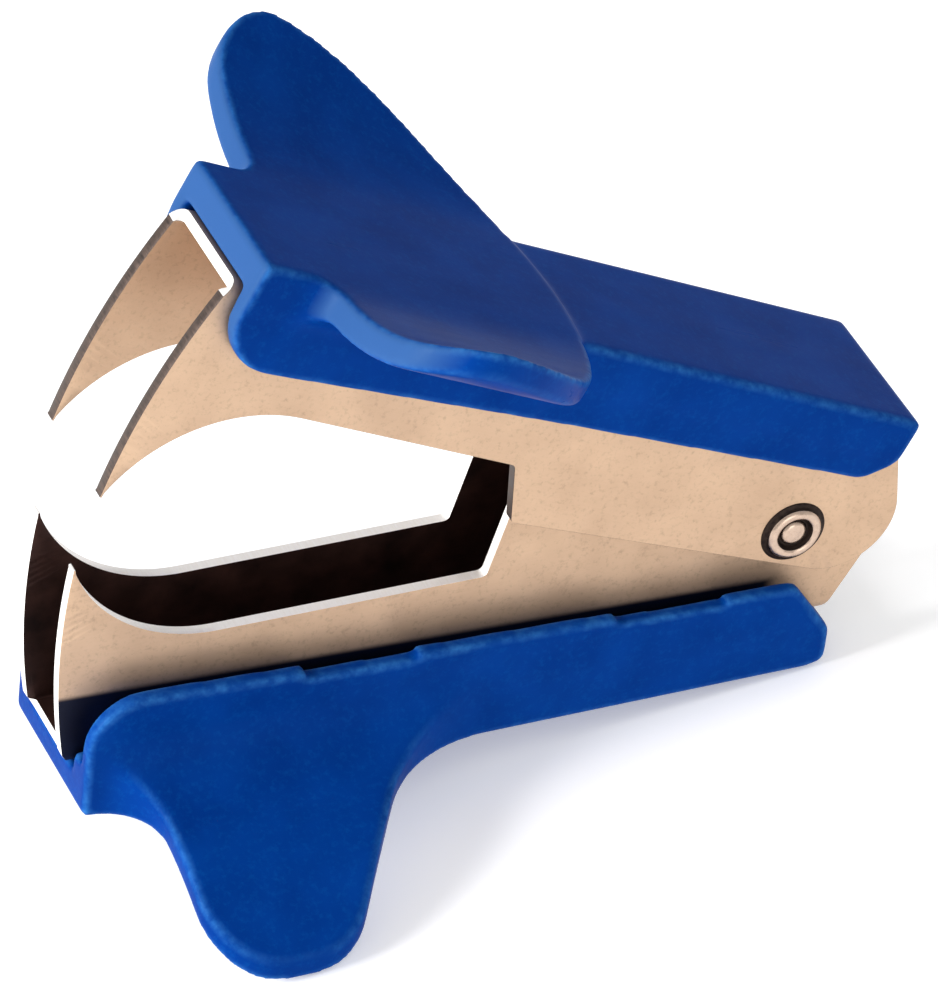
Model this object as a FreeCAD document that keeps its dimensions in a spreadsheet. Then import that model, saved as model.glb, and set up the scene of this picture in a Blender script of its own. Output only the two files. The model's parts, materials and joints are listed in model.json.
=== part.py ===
"""Claw-type staple remover: two hinged steel jaws with fangs, each capped by a moulded finger grip.

Frame: +X runs from the fangs to the pivot end, Y is the pivot axis, +Z is up.  The remover stands
open on its lower grip.  The origin is on the table, under the middle of the whole object.

Each jaw is drawn in a frame of its own: the pivot axis is the origin, X runs rearwards and Z
points from the pivot line to the web.  The upper jaw is pitched up by its placement, and the
lower one is turned over first, so that one set of sketches serves both.
"""
import FreeCAD, Part
import os
import Sketcher

# ---------------------------------------------------------------------------------------
# Driving dimensions, in millimetres and degrees
# ---------------------------------------------------------------------------------------
DIMENSIONS = [
    # where the jaws stand
    ("pivot_x", 21.530, "pivot axis behind the middle of the whole object"),
    ("lower_pitch", 6.5, "pitch of the lower jaw on the table, front up"),
    ("opening_angle", 25.0, "angle between the jaws at rest"),
    # steel jaws
    ("steel", 0.9, "sheet thickness"),
    ("web_height", 8.55, "pivot line to the outer face of a web"),
    ("web_front", -50.7, "front edge of a web"),
    ("web_rear", 3.8, "rear edge of a web"),
    ("bend_radius", 0.8, "outside of the bends between web and cheeks"),
    ("fang_top", -51.1, "front of a fang at the height of the web"),
    ("fang_root", -41.0, "where the hollow back of a fang runs into the arm"),
    ("fang_back_radius", 11.1, "hollow back of a fang"),
    ("fang_front_radius", 50.0, "bulging front of a fang"),
    ("upper_width", 9.1, "outer width of the upper jaw"),
    ("upper_reach", 8.5, "fang tip past the pivot line"),
    ("upper_edge", 0.3, "working edge of the arms, towards the web"),
    ("upper_step_front", -23.8, "top of the step between arm and cheek"),
    ("upper_step_rear", -21.6, "foot of that step"),
    ("upper_cheek_front", -3.9, "free edge of the cheek at the step"),
    ("upper_tail_x", 2.75, "centre of the rounded rear end"),
    ("upper_tail_z", 1.9, "the same, towards the web"),
    ("upper_tail_radius", 4.4, "radius of the rounded rear end"),
    ("lower_width", 7.0, "outer width of the lower jaw, which nests inside the upper one"),
    ("lower_reach", 7.9, "fang tip past the pivot line"),
    ("lower_edge", -0.5, "working edge of the arms, past the pivot line"),
    ("lower_step_front", -22.0, "top of the step between arm and cheek"),
    ("lower_step_rear", -20.3, "foot of that step"),
    ("lower_cheek_front", -7.2, "free edge of the cheek at the step"),
    ("lower_tail_x", 0.6, "centre of the rounded rear end"),
    ("lower_tail_z", 0.6, "the same, towards the web"),
    ("lower_tail_radius", 6.65, "radius of the rounded rear end"),
    # rivet
    ("shank", 3.0, "rivet shank, tight in the upper cheeks"),
    ("running_fit", 0.05, "radial play of the shank in the lower cheeks"),
    ("rivet_head", 4.7, "diameter of the head and of the rolled rim"),
    ("rivet_proud", 0.9, "how far head and rim stand out of the cheeks"),
    ("rivet_dome", 0.67, "how much of that height is domed on the head"),
    ("rivet_hollow", 2.0, "bore of the rolled end"),
    ("rivet_hollow_depth", 2.6, "depth of that bore"),
    # grips
    ("grip_height", 11.0, "pivot line to the flat outer face"),
    ("grip_front", -50.6, "front edge"),
    ("grip_width", 12.2, "outer width without the wings"),
    ("wall_gap", 0.05, "play between a wall and the steel cheek"),
    ("lip_bend", -28.0, "where the free wall edge changes slope"),
    ("lip_corner", 4.0, "lower front corner of a wall"),
    ("upper_lip_front", 3.5, "free wall edge at the front"),
    ("upper_lip_bend", 4.5, "the same at the change of slope"),
    ("upper_lip_rear", 5.65, "the same at the rear"),
    ("upper_rear", 3.6, "rear end"),
    ("upper_rear_low", 1.6, "where the rear end of the wall starts to slope"),
    ("upper_rear_mid", 7.4, "where that slope ends"),
    ("lower_lip_front", 1.9, "free wall edge at the front"),
    ("lower_lip_bend", 2.8, "the same at the change of slope"),
    ("lower_lip_rear", 3.9, "the same at the rear"),
    ("lower_rear", 3.2, "rear end"),
    ("lower_rear_low", 0.3, "where the rear end of the wall starts to slope"),
    ("lower_rear_mid", 8.0, "where that slope ends"),
    ("relief_width", 9.8, "width between the thinned lips of the lower walls"),
    ("relief_depth", 1.6, "depth of the thinned lips"),
    ("notch_depth", 0.4, "depth of the notches in the lower lips"),
    ("notch_length", 8.0, "length of a notch"),
    ("notch_front", -35.5, "front end of the forward notch"),
    ("notch_spacing", 22.5, "from one notch to the next"),
    # wings
    ("upper_rise", 4.5, "rise of a wing tip over the flat outer face"),
    ("lower_rise", 4.9, "rise of a wing tip over the flat outer face"),
    ("wing_thick", 2.0, "thickness of a wing"),
    ("upper_span", 38.8, "width over the wings"),
    ("upper_wing_front", -45.6, "front edge of the wings"),
    ("upper_root", 2.0, "hollow between that edge and the wall"),
    ("upper_tip_radius", 4.4, "front corner of a wing"),
    ("upper_tip_end", -40.0, "where that corner runs into the bowed back edge"),
    ("upper_wing_back", -25.6, "where the back edge reaches the wall"),
    ("upper_wing_out", 0.9, "how far the back corner stands off the wall"),
    ("lower_span", 39.2, "width over the wings"),
    ("lower_wing_front", -46.3, "front edge of the wings"),
    ("lower_root", 4.0, "hollow between that edge and the wall"),
    ("lower_tip_radius", 6.0, "rounded end of a wing"),
    ("lower_back_radius", 10.8, "hollow between the back edge and the wall"),
    ("lower_wing_back", -21.8, "where that hollow reaches the wall"),
    ("root_fillet", 1.5, "hollow between the underside of a wing and the wall"),
    # spring
    ("wire", 0.8, "spring wire"),
    ("coil_radius", 2.3, "mean radius of the coil"),
    ("coil_pitch", 0.88, "from one turn to the next"),
    ("coil_turns", 4, "whole turns"),
    ("leg_angle", 30.5, "slope of each leg to the line midway between the jaws"),
    ("leg_length", 15.5, "length of each leg"),
]

MARGIN = 12  # how far cutting outlines reach past what they cut

document = FreeCAD.newDocument("staple_remover")
sheet = document.addObject("Spreadsheet::Sheet", "Sizes")
for row, (alias, number, meaning) in enumerate(DIMENSIONS, start=1):
    sheet.set("A%d" % row, alias)
    sheet.set("B%d" % row, str(number))
    sheet.set("C%d" % row, meaning)
    sheet.setAlias("B%d" % row, alias)
document.recompute()


def value(amount):
    """A plain number as it is, or the present value of an expression on the sheet."""
    if not isinstance(amount, str):
        return float(amount)
    result = sheet.evalExpression(amount)
    return float(getattr(result, "Value", result))


# ---------------------------------------------------------------------------------------
# Sketches and features
# ---------------------------------------------------------------------------------------
LEFT, RIGHT = 1, -1  # the side that an arc bulges to, seen along the way round the outline


def tie(sketch, kind, where, amount):
    """Adds a dimension, bound to the sheet where the amount is an expression."""
    if isinstance(amount, str):
        number = sketch.addConstraint(Sketcher.Constraint(kind, *where, value(amount)))
        sketch.setExpression("Constraints[%d]" % number, amount)


def origin_plane(body, role):
    """One of the three planes through a body's own origin."""
    return next(part for part in body.Origin.OriginFeatures if part.Role == role)


def empty_sketch(body, role, name):
    """A sketch on one of the body's origin planes, with nothing on it yet."""
    sketch = body.newObject("Sketcher::SketchObject", name)
    sketch.AttachmentSupport = [(origin_plane(body, role), "")]
    sketch.MapMode = "FlatFace"
    return sketch


def outline(body, role, name, corners, arcs=None, smooth=()):
    """A sketch of one closed outline on one of the body's origin planes.

    A corner's coordinates and an arc's radius are expressions on the sheet, or plain numbers
    where a tangent settles them and the number is only a place to start from.  `arcs` maps the
    corner that an arc starts from to (side, radius) or (side, radius, centre).  `smooth` lists
    the corners where two edges meet at a tangent.
    """
    arcs = arcs or {}
    sketch = empty_sketch(body, role, name)
    places = [FreeCAD.Vector(value(x), value(y), 0) for x, y in corners]
    edges = []
    for index, start in enumerate(places):
        end = places[(index + 1) % len(places)]
        if index in arcs:
            edges.append(add_arc(sketch, start, end, *arcs[index][:2]))
        else:
            edges.append((sketch.addGeometry(Part.LineSegment(start, end)), 1, 2))
    for index, (edge, start_end, _) in enumerate(edges):
        before, _, before_end = edges[index - 1]
        kind = "Tangent" if index in smooth else "Coincident"
        sketch.addConstraint(Sketcher.Constraint(kind, before, before_end, edge, start_end))
        tie(sketch, "DistanceX", (-1, 1, edge, start_end), corners[index][0])
        tie(sketch, "DistanceY", (-1, 1, edge, start_end), corners[index][1])
    for index, (_, radius, *centre) in arcs.items():
        tie(sketch, "Radius", (edges[index][0],), radius)
        for x, y in centre:
            tie(sketch, "DistanceX", (-1, 1, edges[index][0], 3), x)
            tie(sketch, "DistanceY", (-1, 1, edges[index][0], 3), y)
    return sketch


def add_arc(sketch, start, end, side, radius):
    """Adds an arc that bulges to one side; returns its number and which of its ends is which."""
    chord = end - start
    outwards = FreeCAD.Vector(-chord.y, chord.x, 0).normalize() * side
    reach = value(radius)
    sagitta = reach - max(reach ** 2 - (chord.Length / 2) ** 2, 0) ** 0.5
    edge = sketch.addGeometry(Part.Arc(start, start + chord / 2 + outwards * sagitta, end))
    forwards = (sketch.getPoint(edge, 1) - start).Length < 1e-6
    return (edge, 1, 2) if forwards else (edge, 2, 1)


def pad(body, name, sketch, length, symmetric=True, reverse=False):
    """Pads a sketch to a length given as an expression."""
    feature = body.newObject("PartDesign::Pad", name)
    feature.Profile = sketch
    feature.SideType = "Symmetric" if symmetric else "One side"
    feature.Reversed = reverse
    feature.setExpression("Length", length)


def cut(body, name, sketch, length):
    """Cuts a sketch out of a body, equally far to both sides of its plane."""
    document.recompute()
    before = body.Shape.Volume
    feature = body.newObject("PartDesign::Pocket", name)
    feature.Profile = sketch
    feature.SideType = "Symmetric"
    feature.setExpression("Length", length)
    document.recompute()
    assert body.Shape.Volume < before - 1e-3, name + " cuts nothing"
    return feature


def mirrored(body, name, original):
    """Repeats a feature on the other side of the middle plane."""
    feature = body.newObject("PartDesign::Mirrored", name)
    feature.Originals = [original]
    feature.MirrorPlane = (origin_plane(body, "XZ_Plane"), [""])
    body.Tip = feature
    document.recompute()


def fillet(body, name, radius, chosen):
    """Rounds the edges of the body so far that `chosen` picks."""
    document.recompute()
    base = body.Tip
    numbered = enumerate(base.Shape.Edges, start=1)
    names = ["Edge%d" % number for number, edge in numbered if chosen(edge)]
    assert names, name + " finds no edge"
    feature = body.newObject("PartDesign::Fillet", name)
    feature.Base = (base, names)
    feature.setExpression("Radius", radius)
    document.recompute()


def named_body(name):
    """An empty body whose label names its piece."""
    body = document.addObject("PartDesign::Body", name)
    body.Label = name
    return body


# ---------------------------------------------------------------------------------------
# Where the pieces stand
# ---------------------------------------------------------------------------------------
LOWER_PITCH = "Sizes.lower_pitch * 1 deg"
UPPER_PITCH = "(Sizes.lower_pitch + Sizes.opening_angle) * 1 deg"
# the rear edge of the lower grip's flat face touches the table
PIVOT_Z = "Sizes.grip_height * cos({0}) + Sizes.lower_rear * sin({0})".format(LOWER_PITCH)


def stand(body, pitch, turn=0, along=0):
    """Puts a body on the pivot: slid along the axis, turned about X, then pitched."""
    body.setExpression(
        "Placement",
        "placement(vector(Sizes.pivot_x; 0; %s); rotation(vector(0; 1; 0); %s))"
        " * placement(vector(0; %s; 0); rotation(vector(1; 0; 0); %s))" % (PIVOT_Z, pitch, along, turn),
    )


# ---------------------------------------------------------------------------------------
# Steel jaws
# ---------------------------------------------------------------------------------------
def make_jaw(side, pitch, turn, bore):
    """One jaw: a channel of sheet steel whose cheeks run out into two fangs.

    The side outline is padded over the full width, then everything but the two cheeks and the
    web between them is cut away.
    """
    body = named_body(side + "_jaw")
    # rough places, which the hollow of the fang and the round of the tail settle
    tip_start, tail_start = -51.8, (6.5, 4.0)
    cheek = outline(
        body, "XZ_Plane", side + "_cheek",
        corners=[
            ("Sizes.fang_top", "Sizes.web_height"),
            (tip_start, "-Sizes.%s_reach" % side),
            ("Sizes.fang_root", "Sizes.%s_edge" % side),
            ("Sizes.%s_step_front" % side, "Sizes.%s_edge" % side),
            ("Sizes.%s_step_rear" % side, "Sizes.%s_cheek_front" % side),
            (value("Sizes.%s_tail_x" % side), value("Sizes.{0}_tail_z - Sizes.{0}_tail_radius".format(side))),
            tail_start,
            ("Sizes.web_rear", "Sizes.web_height"),
        ],
        arcs={
            0: (RIGHT, "Sizes.fang_front_radius"),
            1: (LEFT, "Sizes.fang_back_radius"),
            5: (RIGHT, "Sizes.%s_tail_radius" % side,
                ("Sizes.%s_tail_x" % side, "Sizes.%s_tail_z" % side)),
        },
        smooth=(2, 5, 6),
    )
    pad(body, side + "_plate", cheek, "Sizes.%s_width" % side)
    inner = "Sizes.web_height - Sizes.steel"
    channel = outline(
        body, "XZ_Plane", side + "_channel",
        corners=[
            ("Sizes.web_front - %d" % MARGIN, "Sizes.web_height + %d" % MARGIN),
            ("Sizes.web_front", "Sizes.web_height + %d" % MARGIN),
            ("Sizes.web_front", inner),
            ("Sizes.web_rear", inner),
            ("Sizes.web_rear", "Sizes.web_height + %d" % MARGIN),
            ("Sizes.web_rear + %d" % MARGIN, "Sizes.web_height + %d" % MARGIN),
            ("Sizes.web_rear + %d" % MARGIN, "-%d" % MARGIN),
            ("Sizes.web_front - %d" % MARGIN, "-%d" % MARGIN),
        ],
    )
    cut(body, side + "_inside", channel, "Sizes.%s_width - 2 * Sizes.steel" % side)
    round_hole(body, side + "_hole", bore, "Sizes.%s_width + %d" % (side, MARGIN))
    top = value("Sizes.web_height")
    outer = value("Sizes.%s_width" % side) / 2
    fillet(body, side + "_bends", "Sizes.bend_radius", lambda edge: along_x(edge, outer, top))
    stand(body, pitch, turn)
    return body


def along_x(edge, y, z):
    """Whether an edge runs along X at a distance y from the middle plane and at height z."""
    box = edge.BoundBox
    flat = box.YLength < 1e-6 and box.ZLength < 1e-6
    return flat and abs(abs(box.YMin) - y) < 1e-6 and abs(box.ZMin - z) < 1e-6


def round_hole(body, name, diameter, length):
    """A hole through both cheeks about the pivot axis."""
    sketch = empty_sketch(body, "XZ_Plane", name + "_circle")
    circle = sketch.addGeometry(Part.Circle(FreeCAD.Vector(0, 0, 0), FreeCAD.Vector(0, 0, 1), 1))
    sketch.addConstraint(Sketcher.Constraint("Coincident", circle, 3, -1, 1))
    tie(sketch, "Diameter", (circle,), diameter)
    cut(body, name, sketch, length)


# ---------------------------------------------------------------------------------------
# Plastic grips
# ---------------------------------------------------------------------------------------
def make_grip(side, wing_corners, wing_arcs, wing_smooth):
    """One grip: a channel-shaped cap over the jaw with a dished wing on each side."""
    body = named_body(side + "_grip")
    wall = outline(
        body, "XZ_Plane", side + "_wall",
        corners=[
            ("Sizes.grip_front", "Sizes.grip_height"),
            ("Sizes.grip_front", value("Sizes.%s_lip_front + Sizes.lip_corner" % side)),
            (value("Sizes.grip_front + Sizes.lip_corner"), "Sizes.%s_lip_front" % side),
            ("Sizes.lip_bend", "Sizes.%s_lip_bend" % side),
            ("Sizes.%s_rear_low" % side, "Sizes.%s_lip_rear" % side),
            ("Sizes.%s_rear" % side, "Sizes.%s_rear_mid" % side),
            ("Sizes.%s_rear" % side, "Sizes.grip_height"),
        ],
        arcs={1: (RIGHT, "Sizes.lip_corner")},
        smooth=(1, 2),
    )
    pad(body, side + "_block", wall, "Sizes.grip_width")
    half, top = "Sizes.grip_width / 2", "Sizes.grip_height"
    tip = "Sizes.%s_span / 2" % side
    rise = "Sizes.%s_rise" % side
    dish = value("(({0} - {1})^2 + {2}^2) / 2 / {2}".format(tip, half, rise))
    section = outline(
        body, "YZ_Plane", side + "_wing_section",
        corners=[
            ("-" + tip, top + " + " + rise),
            ("-" + half, top),
            (half, top),
            (tip, top + " + " + rise),
            (tip, top + " - Sizes.wing_thick + " + rise),
            (half, top + " - Sizes.wing_thick"),
            ("-" + half, top + " - Sizes.wing_thick"),
            ("-" + tip, top + " - Sizes.wing_thick + " + rise),
        ],
        arcs={0: (RIGHT, dish), 2: (RIGHT, dish), 4: (LEFT, dish), 6: (LEFT, dish)},
        smooth=(1, 2, 5, 6),
    )
    pad(body, side + "_wing_strip", section, "-Sizes.grip_front", symmetric=False, reverse=True)
    beyond = tip + " + %d" % MARGIN
    front, rear = "Sizes.grip_front - %d" % MARGIN, "Sizes.%s_rear + %d" % (side, MARGIN)
    plan = outline(
        body, "XY_Plane", side + "_wing_plan",
        corners=[(front, half)] + wing_corners + [(rear, half), (rear, beyond), (front, beyond)],
        arcs=wing_arcs,
        smooth=wing_smooth,
    )
    trimmed = cut(body, side + "_wing_trim", plan, "4 * Sizes.grip_height")
    mirrored(body, side + "_wing_trim_far", trimmed)
    hollow = outline(
        body, "XZ_Plane", side + "_hollow_outline",
        corners=[
            (front, "Sizes.web_height"),
            (front, "-%d" % MARGIN),
            (rear, "-%d" % MARGIN),
            (rear, "Sizes.web_height"),
        ],
    )
    cut(body, side + "_hollow", hollow, "Sizes.%s_width + 2 * Sizes.wall_gap" % side)
    under = value("Sizes.grip_height - Sizes.wing_thick")
    outer = value("Sizes.grip_width / 2")
    fillet(body, side + "_wing_root", "Sizes.root_fillet", lambda edge: along_x(edge, outer, under))
    return body


def wing_start(side):
    """The front corners that both wing outlines share, from the wall to the rounded end."""
    half = "Sizes.grip_width / 2"
    front = "Sizes.%s_wing_front" % side
    return [
        (value(front + " - Sizes.%s_root" % side), half),
        (front, value(half + " + Sizes.%s_root" % side)),
        (front, value("Sizes.{0}_span / 2 - Sizes.{0}_tip_radius".format(side))),
    ]


def make_upper_grip():
    """The upper grip; its wings sweep back in one long bow."""
    half = "Sizes.grip_width / 2"
    bow_start = 22  # rough radius of the bowed back edge, which its ends settle
    corners = wing_start("upper") + [
        ("Sizes.upper_tip_end", value("Sizes.upper_span / 2")),
        ("Sizes.upper_wing_back", half + " + Sizes.upper_wing_out"),
        ("Sizes.upper_wing_back", half),
    ]
    arcs = {
        1: (RIGHT, "Sizes.upper_root"),
        3: (LEFT, "Sizes.upper_tip_radius",
            (value("Sizes.upper_wing_front"), "Sizes.upper_span / 2 - Sizes.upper_tip_radius")),
        4: (LEFT, bow_start),
    }
    body = make_grip("upper", corners, arcs, (1, 2, 3, 4))
    stand(body, UPPER_PITCH)
    return body


def make_lower_grip():
    """The lower grip; its wings are tongues that flow into the walls on both sides."""
    half = "Sizes.grip_width / 2"
    # rough ends of the straight back edge, which the arcs at both ends settle
    edge_start, edge_end = (-35.4, 17), (-30.6, 10.7)
    corners = wing_start("lower") + [edge_start, edge_end, ("Sizes.lower_wing_back", half)]
    arcs = {
        1: (RIGHT, "Sizes.lower_root"),
        3: (LEFT, "Sizes.lower_tip_radius",
            (value("Sizes.lower_wing_front"), "Sizes.lower_span / 2 - Sizes.lower_tip_radius")),
        5: (RIGHT, "Sizes.lower_back_radius"),
    }
    body = make_grip("lower", corners, arcs, (1, 2, 3, 4, 5, 6))
    add_relief(body)
    stand(body, LOWER_PITCH, 180)
    return body


def add_relief(body):
    """Thins the lips of the lower walls from inside and cuts two shallow notches into each."""
    relief = outline(
        body, "XZ_Plane", "lower_relief_outline",
        corners=[
            ("Sizes.grip_front - %d" % MARGIN, "-%d" % MARGIN),
            ("Sizes.lower_rear + %d" % MARGIN, "-%d" % MARGIN),
            ("Sizes.lower_rear + %d" % MARGIN, "Sizes.lower_lip_rear + Sizes.relief_depth"),
            ("Sizes.lip_bend", "Sizes.lower_lip_bend + Sizes.relief_depth"),
            ("Sizes.grip_front - %d" % MARGIN, "Sizes.lower_lip_front + Sizes.relief_depth"),
        ],
    )
    cut(body, "lower_relief", relief, "Sizes.relief_width")
    slope = "(Sizes.lower_lip_rear - Sizes.lower_lip_bend) / (Sizes.lower_rear_low - Sizes.lip_bend)"
    floor = "Sizes.lower_lip_bend + Sizes.notch_depth + ({0} - Sizes.lip_bend) * {1}"
    for name, start in (
        ("front_notch", "Sizes.notch_front"),
        ("rear_notch", "Sizes.notch_front + Sizes.notch_spacing"),
    ):
        end = start + " + Sizes.notch_length"
        notch = outline(
            body, "XZ_Plane", name + "_outline",
            corners=[
                (start, "-%d" % MARGIN),
                (end, "-%d" % MARGIN),
                (end, floor.format(end, slope)),
                (start, floor.format(start, slope)),
            ],
        )
        cut(body, name, notch, "Sizes.grip_width + %d" % MARGIN)


# ---------------------------------------------------------------------------------------
# Rivet and spring
# ---------------------------------------------------------------------------------------
def make_rivet():
    """A semi-tubular rivet: domed head on the far side, rolled rim round a bore on the near side."""
    body = named_body("pivot_rivet")
    seat = "Sizes.upper_width / 2"
    roll = "(Sizes.rivet_head - Sizes.rivet_hollow) / 4"
    rim = "-(%s) - Sizes.rivet_proud + %s" % (seat, roll)
    bottom = "-(%s) - Sizes.rivet_proud + Sizes.rivet_hollow_depth" % seat
    dome_foot = seat + " + Sizes.rivet_proud - Sizes.rivet_dome"
    section = outline(
        body, "XY_Plane", "rivet_section",
        corners=[
            ("0", bottom),
            ("Sizes.rivet_hollow / 2", bottom),
            ("Sizes.rivet_hollow / 2", rim),
            ("Sizes.rivet_head / 2", rim),
            ("Sizes.rivet_head / 2", "-(%s)" % seat),
            ("Sizes.shank / 2", "-(%s)" % seat),
            ("Sizes.shank / 2", seat),
            ("Sizes.rivet_head / 2", seat),
            ("Sizes.rivet_head / 2", dome_foot),
            ("0", seat + " + Sizes.rivet_proud"),
        ],
        arcs={
            2: (RIGHT, value(roll)),
            8: (RIGHT, "((Sizes.rivet_head / 2)^2 + Sizes.rivet_dome^2) / (2 * Sizes.rivet_dome)"),
        },
    )
    turned = body.newObject("PartDesign::Revolution", "rivet_turned")
    turned.Profile = section
    turned.ReferenceAxis = (section, ["V_Axis"])
    turned.Angle = 360
    stand(body, UPPER_PITCH)
    return body


def make_spring():
    """A close-wound torsion spring on the shank; its two legs hold the jaws open.

    It is drawn with its coil about Z.  The first leg runs off in -Y from where the wire starts,
    and the second leaves at a tangent where the last turn ends.
    """
    body = named_body("torsion_spring")
    part_turn = "(180 - 2 * Sizes.leg_angle)"
    first = wire_circle(body, "first_end", 0, 0)
    coil = body.newObject("PartDesign::AdditiveHelix", "coil")
    coil.Profile = first
    coil.ReferenceAxis = (first, ["V_Axis"])
    coil.Mode = "pitch-turns-angle"
    coil.setExpression("Pitch", "Sizes.coil_pitch")
    coil.setExpression("Turns", "Sizes.coil_turns + %s / 360" % part_turn)
    document.recompute()
    pad(body, "first_leg", first, "Sizes.leg_length", symmetric=False)
    rise = "Sizes.coil_pitch * (Sizes.coil_turns + %s / 360)" % part_turn
    last = wire_circle(body, "last_end", part_turn, rise)
    pad(body, "last_leg", last, "Sizes.leg_length", symmetric=False, reverse=True)
    start = "Sizes.lower_pitch + Sizes.opening_angle / 2 + 90 - Sizes.leg_angle"
    stand(body, "(%s) * 1 deg" % start, turn=90, along="(%s) / 2" % rise)
    return body


def wire_circle(body, name, angle, height):
    """The wire's round section where it leaves the coil, at an angle about Z and at a height."""
    sketch = empty_sketch(body, "XZ_Plane", name)
    sketch.setExpression(
        "AttachmentOffset", "placement(vector(0; %s; 0); rotation(vector(0; 1; 0); %s))" % (height, angle))
    circle = sketch.addGeometry(Part.Circle(FreeCAD.Vector(2, 0, 0), FreeCAD.Vector(0, 0, 1), 0.4))
    sketch.addConstraint(Sketcher.Constraint("PointOnObject", circle, 3, -1))
    tie(sketch, "DistanceX", (-1, 1, circle, 3), "Sizes.coil_radius")
    tie(sketch, "Diameter", (circle,), "Sizes.wire")
    return sketch


# ---------------------------------------------------------------------------------------
# The whole object
# ---------------------------------------------------------------------------------------
pieces = [
    make_jaw("upper", UPPER_PITCH, 0, "Sizes.shank"),
    make_jaw("lower", LOWER_PITCH, 180, "Sizes.shank + 2 * Sizes.running_fit"),
    make_upper_grip(),
    make_lower_grip(),
    make_rivet(),
    make_spring(),
]
document.recompute()
failed = [item.Name for item in document.Objects if "Invalid" in item.State or "Error" in item.State]
assert not failed, "failed features: %s" % failed
os.makedirs("parts", exist_ok=True)
for piece in pieces:
    assert not piece.Shape.isNull() and piece.Shape.isValid(), piece.Label
    piece.Shape.exportStep("parts/%s.step" % piece.Label)
    box = piece.Shape.BoundBox
    print("%-15s %8.1f mm3  x %6.2f..%6.2f  y %6.2f..%6.2f  z %6.2f..%6.2f" % (
        piece.Label, piece.Shape.Volume, box.XMin, box.XMax, box.YMin, box.YMax, box.ZMin, box.ZMax))
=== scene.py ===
"""A claw-type staple remover, built in detail round its CAD frame.

The jaws, grips and rivet are drawn in millimetres in the frame of their own jaw: the pivot is the
origin, X runs rearwards, Y along the pivot and Z towards the web.  A matrix per jaw then puts them in
place.  The spring is drawn round the axis of its coil.
"""
import json
import math
import bmesh
import bpy
import numpy as np
from mathutils import Matrix, Vector


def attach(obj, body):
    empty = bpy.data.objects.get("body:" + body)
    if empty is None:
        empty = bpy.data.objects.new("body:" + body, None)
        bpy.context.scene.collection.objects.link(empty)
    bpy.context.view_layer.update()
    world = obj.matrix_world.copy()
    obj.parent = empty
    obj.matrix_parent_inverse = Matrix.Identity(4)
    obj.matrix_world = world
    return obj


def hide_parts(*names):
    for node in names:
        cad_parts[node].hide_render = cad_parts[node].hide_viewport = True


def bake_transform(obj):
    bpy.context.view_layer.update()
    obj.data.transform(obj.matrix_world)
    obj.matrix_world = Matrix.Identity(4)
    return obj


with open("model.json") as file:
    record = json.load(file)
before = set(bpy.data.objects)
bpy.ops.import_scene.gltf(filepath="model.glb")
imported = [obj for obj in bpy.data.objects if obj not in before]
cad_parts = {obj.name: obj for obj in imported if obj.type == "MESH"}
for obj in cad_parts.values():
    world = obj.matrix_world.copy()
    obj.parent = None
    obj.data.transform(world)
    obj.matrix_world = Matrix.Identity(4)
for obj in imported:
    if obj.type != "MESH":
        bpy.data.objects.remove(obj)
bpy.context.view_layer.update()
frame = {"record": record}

MM = 0.001
PIVOT = Vector(frame["record"]["behaviour"]["joints"][0]["pos_m"])
LOWER_PITCH, OPENING = 6.5, 25.0
UPPER_PITCH = LOWER_PITCH + OPENING


def turn(degrees, axis):
    """A turn about an axis through the origin."""
    return Matrix.Rotation(math.radians(degrees), 4, axis)


TO_MM = Matrix.Translation(PIVOT)
PLACE = {
    "upper": TO_MM @ turn(UPPER_PITCH, "Y") @ Matrix.Scale(MM, 4),
    "lower": TO_MM @ turn(LOWER_PITCH, "Y") @ turn(180, "X") @ Matrix.Scale(MM, 4),
}
GRAIN = {"upper": -UPPER_PITCH, "lower": -LOWER_PITCH}  # turns each jaw level, along its grain

# The lower grip's lip seen from the side: its slope in degrees against the jaw, and in mm how far
# it lies under the pivot, where it ends behind the pivot, and how softly the painted shade behind it
# fades.
LIP_SLOPE, LIP_DROP, LIP_END = 2.25, 4.85, 0.3
SHADE_ABOVE, SHADE_BELOW, SHADE_REAR = 0.35, 0.15, 1.2

# ------------------------------------------------------------------------------- materials


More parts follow.
